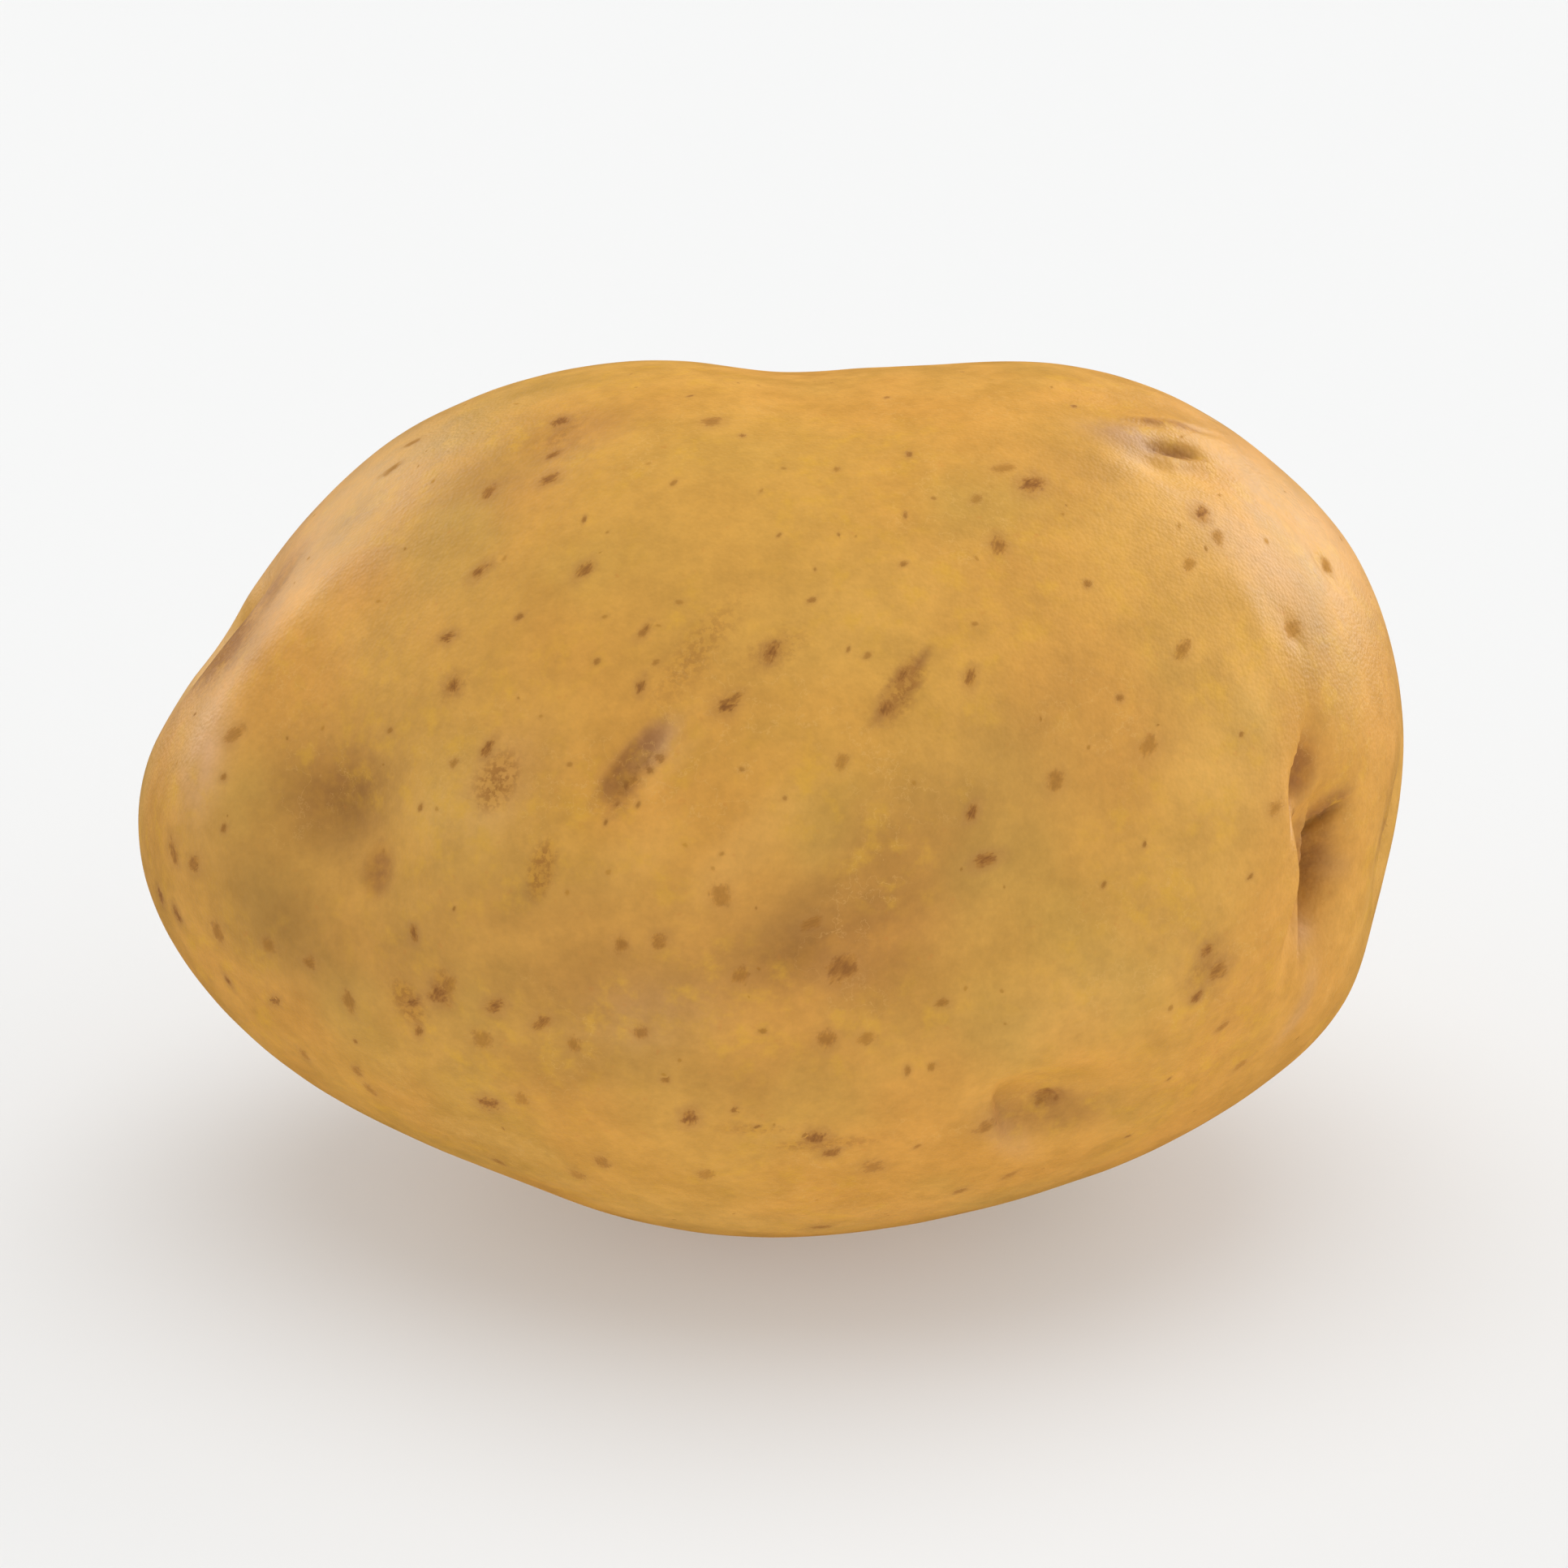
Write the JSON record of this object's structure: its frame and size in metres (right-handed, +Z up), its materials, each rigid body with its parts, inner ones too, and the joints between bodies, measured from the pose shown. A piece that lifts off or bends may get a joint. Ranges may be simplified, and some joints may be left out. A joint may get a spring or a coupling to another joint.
{
  "type": "potato",
  "caption": "Yellow-skinned table potato: a blunt, uneven oval tuber with shallow eyes, a folded stem end and small brown specks, lying on its side.",
  "frame": {"origin": "on the flat underside, below the middle of the tuber's bounding box", "axes": "+X along the tuber towards its folded end, +Y away from its broad near face, +Z up"},
  "size_m": [0.0956, 0.072, 0.0656],
  "materials": {
    "skin": "satin, finely grained skin with brown specks"
  },
  "bodies": {
    "root": {"tuber": "skin"}
  },
  "joints": []
}
